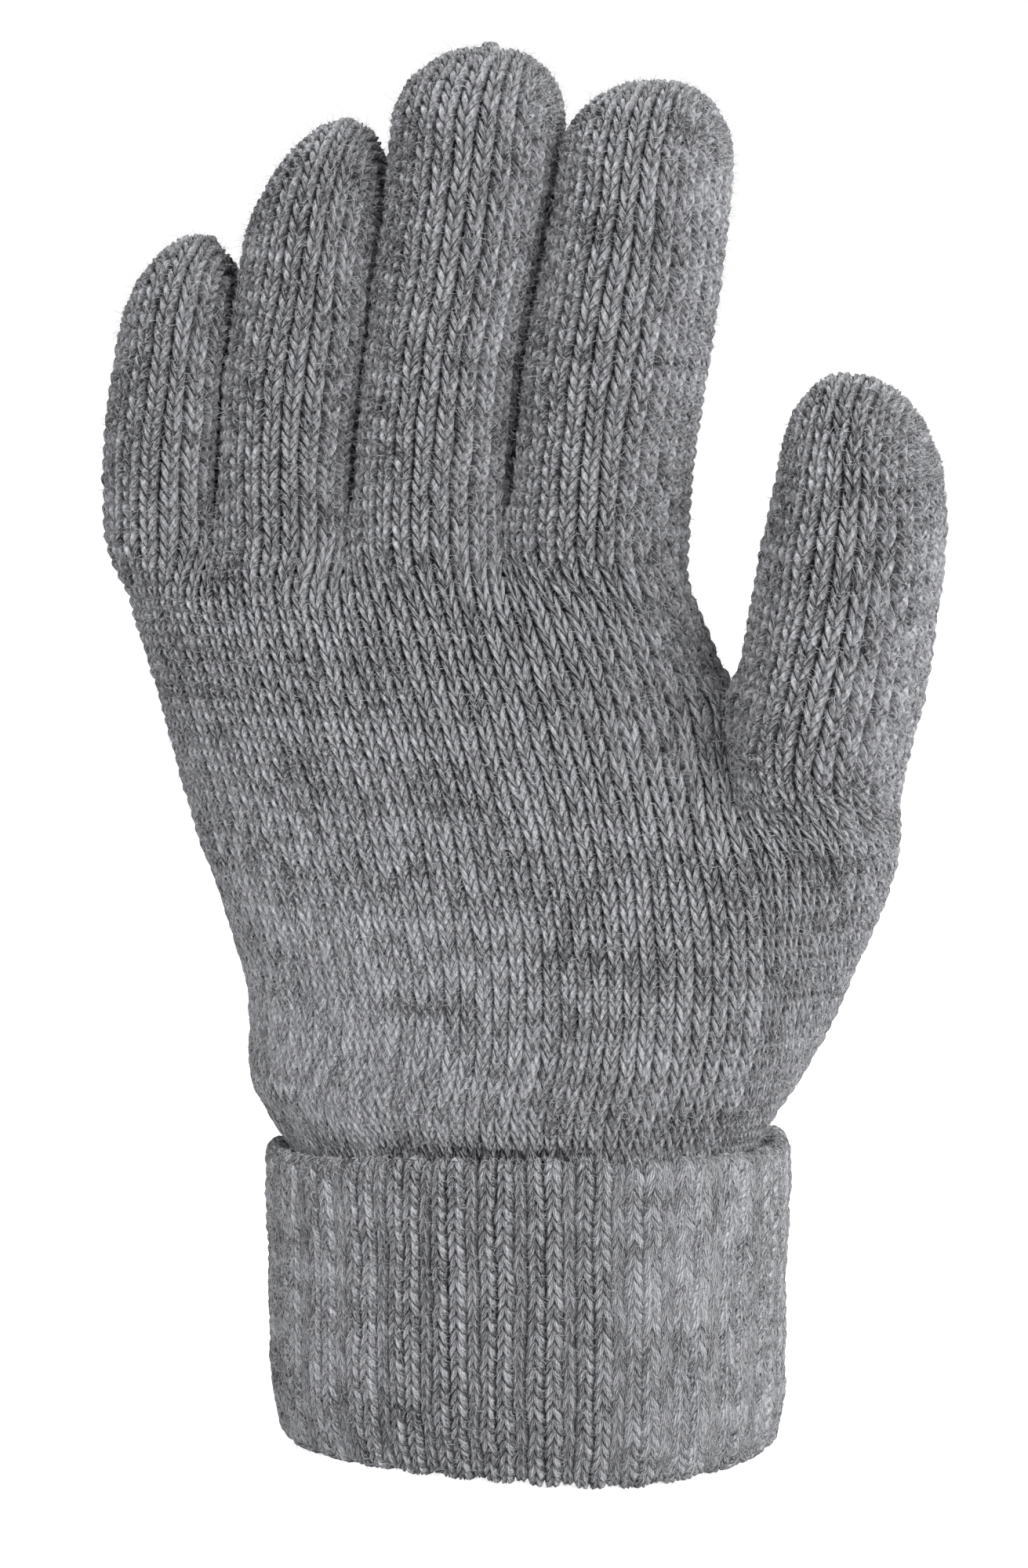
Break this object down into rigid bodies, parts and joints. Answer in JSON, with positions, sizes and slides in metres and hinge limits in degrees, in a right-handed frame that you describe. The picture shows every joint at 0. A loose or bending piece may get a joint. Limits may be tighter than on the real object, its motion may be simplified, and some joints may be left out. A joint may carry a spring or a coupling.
{
  "type": "knitted glove",
  "caption": "Heather grey knitted wool glove for a right hand, standing on its turned-up ribbed cuff, with hollow fingers that bend at their knit folds.",
  "frame": {"origin": "centre of the wrist opening, on the plane that the fold of the cuff stands on", "axes": "+Z from the wrist opening to the fingertips, the palm faces -Y, the thumb is on the +X side"},
  "size_m": [0.1561, 0.0575, 0.2503],
  "materials": {
    "hand_knit": "matt heathered wool stockinette",
    "cuff_rib": "matt heathered wool rib",
    "cuff_edge": "matt heathered wool rib edge",
    "knit_fold": "matt heathered wool stockinette",
    "closing_yarn": "matt wool yarn"
  },
  "bodies": {
    "cuff": {"cuff_fold": "cuff_edge", "cuff_turn_up": "cuff_rib", "cuff_welt": "cuff_edge", "cuff_sleeve": "cuff_rib"},
    "hand": {"palm_shell": "hand_knit", "wrist_fold": "knit_fold"},
    "little_lower": {"little_lower_stall": "hand_knit", "little_knuckle_fold": "knit_fold"},
    "little_mid": {"little_middle_stall": "hand_knit", "little_middle_fold": "knit_fold"},
    "little_tip": {"little_fingertip": "hand_knit", "little_tip_fold": "knit_fold", "little_closing_knot": "closing_yarn"},
    "ring_lower": {"ring_lower_stall": "hand_knit", "ring_knuckle_fold": "knit_fold"},
    "ring_mid": {"ring_middle_stall": "hand_knit", "ring_middle_fold": "knit_fold"},
    "ring_tip": {"ring_fingertip": "hand_knit", "ring_tip_fold": "knit_fold", "ring_closing_knot": "closing_yarn"},
    "middle_lower": {"middle_lower_stall": "hand_knit", "middle_knuckle_fold": "knit_fold"},
    "middle_mid": {"middle_middle_stall": "hand_knit", "middle_middle_fold": "knit_fold"},
    "middle_tip": {"middle_fingertip": "hand_knit", "middle_tip_fold": "knit_fold", "middle_closing_knot": "closing_yarn"},
    "index_lower": {"index_lower_stall": "hand_knit", "index_knuckle_fold": "knit_fold"},
    "index_mid": {"index_middle_stall": "hand_knit", "index_middle_fold": "knit_fold"},
    "index_tip": {"index_fingertip": "hand_knit", "index_tip_fold": "knit_fold", "index_closing_knot": "closing_yarn"},
    "thumb_lower": {"thumb_lower_stall": "hand_knit", "thumb_base_fold": "knit_fold"},
    "thumb_tip": {"thumb_thumbtip": "hand_knit", "thumb_tip_fold": "knit_fold", "thumb_closing_knot": "closing_yarn"}
  },
  "joints": [
    {"name": "wrist_bend", "type": "hinge", "parent": "cuff", "child": "hand", "pos_m": [-0.002, 0, 0.065], "axis": [1, 0, 0], "range_deg": [-25, 25], "stiffness_Nm_per_rad": 0.25, "deforming": ["wrist_fold"]},
    {"name": "little_knuckle_bend", "type": "hinge", "parent": "hand", "child": "little_lower", "pos_m": [-0.0676, 0, 0.1675], "axis": [0.9962, 0, -0.0869], "range_deg": [0, 50], "stiffness_Nm_per_rad": 0.02, "deforming": ["little_knuckle_fold"]},
    {"name": "little_middle_bend", "type": "hinge", "parent": "little_lower", "child": "little_mid", "pos_m": [-0.0659, -0.001, 0.187], "axis": [0.9913, 0, -0.1312], "range_deg": [0, 55], "stiffness_Nm_per_rad": 0.012, "deforming": ["little_middle_fold"]},
    {"name": "little_tip_bend", "type": "hinge", "parent": "little_mid", "child": "little_tip", "pos_m": [-0.0629, -0.003, 0.203], "axis": [0.9688, 0, -0.2478], "range_deg": [0, 33], "stiffness_Nm_per_rad": 0.004, "deforming": ["little_tip_fold"]},
    {"name": "ring_knuckle_bend", "type": "hinge", "parent": "hand", "child": "ring_lower", "pos_m": [-0.0437, 0, 0.171], "axis": [0.995, 0, -0.0995], "range_deg": [0, 50], "stiffness_Nm_per_rad": 0.02, "deforming": ["ring_knuckle_fold"]},
    {"name": "ring_middle_bend", "type": "hinge", "parent": "ring_lower", "child": "ring_mid", "pos_m": [-0.0409, -0.0015, 0.199], "axis": [0.9893, 0, -0.1458], "range_deg": [0, 55], "stiffness_Nm_per_rad": 0.012, "deforming": ["ring_middle_fold"]},
    {"name": "ring_tip_bend", "type": "hinge", "parent": "ring_mid", "child": "ring_tip", "pos_m": [-0.0367, -0.0045, 0.2185], "axis": [0.9651, 0, -0.2619], "range_deg": [0, 33], "stiffness_Nm_per_rad": 0.004, "deforming": ["ring_tip_fold"]},
    {"name": "middle_knuckle_bend", "type": "hinge", "parent": "hand", "child": "middle_lower", "pos_m": [-0.0168, 0, 0.172], "axis": [0.9932, 0, -0.1167], "range_deg": [0, 50], "stiffness_Nm_per_rad": 0.02, "deforming": ["middle_knuckle_fold"]},
    {"name": "middle_middle_bend", "type": "hinge", "parent": "middle_lower", "child": "middle_mid", "pos_m": [-0.0131, -0.0015, 0.2035], "axis": [0.9881, 0, -0.1537], "range_deg": [0, 55], "stiffness_Nm_per_rad": 0.012, "deforming": ["middle_middle_fold"]},
    {"name": "middle_tip_bend", "type": "hinge", "parent": "middle_mid", "child": "middle_tip", "pos_m": [-0.0084, -0.005, 0.226], "axis": [0.9744, 0, -0.2249], "range_deg": [0, 33], "stiffness_Nm_per_rad": 0.004, "deforming": ["middle_tip_fold"]},
    {"name": "index_knuckle_bend", "type": "hinge", "parent": "hand", "child": "index_lower", "pos_m": [0.013, 0, 0.172], "axis": [0.9902, 0, -0.14], "range_deg": [0, 50], "stiffness_Nm_per_rad": 0.02, "deforming": ["index_knuckle_fold"]},
    {"name": "index_middle_bend", "type": "hinge", "parent": "index_lower", "child": "index_mid", "pos_m": [0.0171, -0.0015, 0.201], "axis": [0.9865, 0, -0.1638], "range_deg": [0, 55], "stiffness_Nm_per_rad": 0.012, "deforming": ["index_middle_fold"]},
    {"name": "index_tip_bend", "type": "hinge", "parent": "index_mid", "child": "index_tip", "pos_m": [0.0213, -0.0045, 0.222], "axis": [0.9773, 0, -0.2118], "range_deg": [0, 33], "stiffness_Nm_per_rad": 0.004, "deforming": ["index_tip_fold"]},
    {"name": "thumb_base_bend", "type": "hinge", "parent": "hand", "child": "thumb_lower", "pos_m": [0.0572, -0.0106, 0.143], "axis": [0.9181, -0.3419, -0.2004], "range_deg": [0, 35], "stiffness_Nm_per_rad": 0.02, "deforming": ["thumb_base_fold"]},
    {"name": "thumb_tip_bend", "type": "hinge", "parent": "thumb_lower", "child": "thumb_tip", "pos_m": [0.0614, -0.0128, 0.166], "axis": [0.9236, -0.3439, -0.1695], "range_deg": [0, 45], "stiffness_Nm_per_rad": 0.01, "deforming": ["thumb_tip_fold"]}
  ],
  "couplings": [
    {"joint": "little_tip_bend", "follows": "little_middle_bend", "ratio": 0.6},
    {"joint": "ring_tip_bend", "follows": "ring_middle_bend", "ratio": 0.6},
    {"joint": "middle_tip_bend", "follows": "middle_middle_bend", "ratio": 0.6},
    {"joint": "index_tip_bend", "follows": "index_middle_bend", "ratio": 0.6}
  ]
}
